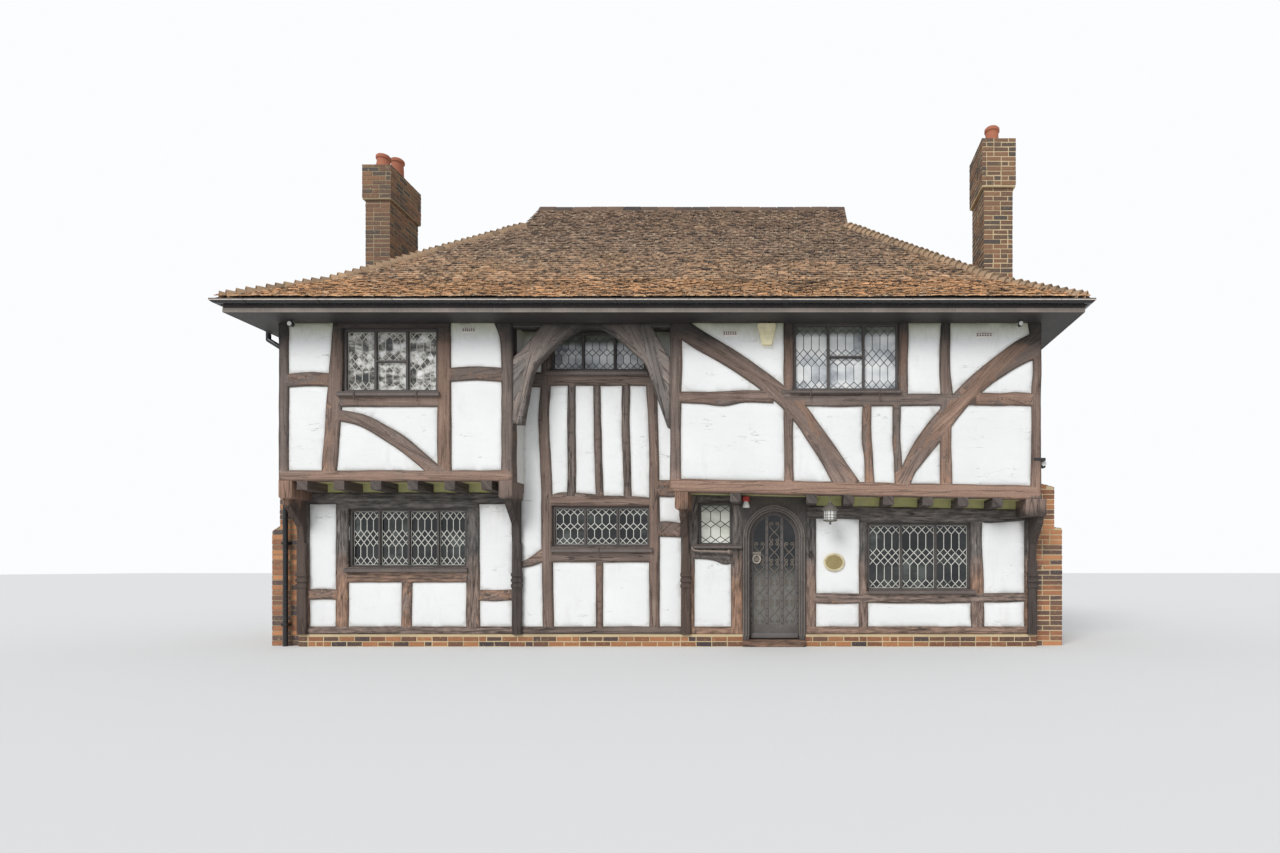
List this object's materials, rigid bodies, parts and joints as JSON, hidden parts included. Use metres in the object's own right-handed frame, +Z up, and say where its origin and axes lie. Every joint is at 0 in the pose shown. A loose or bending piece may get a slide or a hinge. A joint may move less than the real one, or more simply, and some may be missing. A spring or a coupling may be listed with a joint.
{
  "type": "half timbered house",
  "caption": "Jettied timber framed hall house with plaster panels, leaded windows, a recessed centre under curved braces, a hipped tile roof with brick stacks, and an arched front door.",
  "frame": {"origin": "middle of the house's outline at ground level", "axes": "+X along the front to the right as seen from the front, +Y from the front to the back, +Z up"},
  "size_m": [11.83, 7.68, 8.43],
  "materials": {
    "oak": "weathered oak, dark brown stain",
    "dark_oak": "old black-brown paint, worn",
    "lime_plaster": "white limewash on uneven plaster",
    "cream_plaster": "cream limewash, stained",
    "clay_tiles": "hand made clay peg tiles, lichen",
    "terracotta": "red clay",
    "brick": "red and brown stock brick, lime mortar",
    "floor_stone": "stone flags",
    "floor_boards": "boards, limewashed below",
    "gutter_plastic": "black, semi gloss",
    "window_glass": "leaded glass, slightly uneven",
    "door_glass": "dark leaded glass",
    "black_iron": "wrought iron, worn",
    "lantern_metal": "weathered grey",
    "cream_fitting": "plain cream"
  },
  "bodies": {
    "house": {"left_bay_timbers": "oak", "left_bay_plaster": "lime_plaster", "hall_timbers": "oak", "hall_plaster": "lime_plaster", "right_bay_timbers": "oak", "right_bay_plaster": "lime_plaster", "ground_front_timbers": "oak", "ground_front_plaster": "lime_plaster", "back_timbers": "oak", "back_plaster": "lime_plaster", "left_side_timbers": "oak", "left_side_plaster": "lime_plaster", "right_side_timbers": "oak", "right_side_plaster": "lime_plaster", "recess_returns": "lime_plaster", "recess_braces": "oak", "long_plates": "oak", "end_plates": "oak", "front_slope": "clay_tiles", "back_slope": "clay_tiles", "left_slope": "clay_tiles", "right_slope": "clay_tiles", "gablets": "oak", "ridge_and_hips": "clay_tiles", "long_eaves": "dark_oak", "end_eaves": "dark_oak", "gutters": "gutter_plastic", "downpipes": "gutter_plastic", "left_stack": "brick", "right_stack": "brick", "chimney_pots": "terracotta", "front_plinths": "brick", "back_plinth": "brick", "side_plinths": "brick", "ground_floor": "floor_stone", "jetty_joists": "oak", "joist_filling": "cream_plaster", "corner_brackets": "oak", "upper_floors": "floor_boards", "door_jambs": "dark_oak", "door_head": "dark_oak", "threshold": "oak", "upper_windows": "dark_oak", "lower_windows": "dark_oak", "upper_glass": "window_glass", "lower_glass": "window_glass", "lantern": "lantern_metal", "wall_fittings": "cream_fitting"},
    "door": {"front_door": "dark_oak", "door_glass": "door_glass", "door_furniture": "black_iron"}
  },
  "joints": [
    {"name": "front_door_hinge", "type": "hinge", "parent": "house", "child": "door", "pos_m": [1.986, -2.691, 0.1], "axis": [0, 0, -1], "range_deg": [0, 90]}
  ]
}
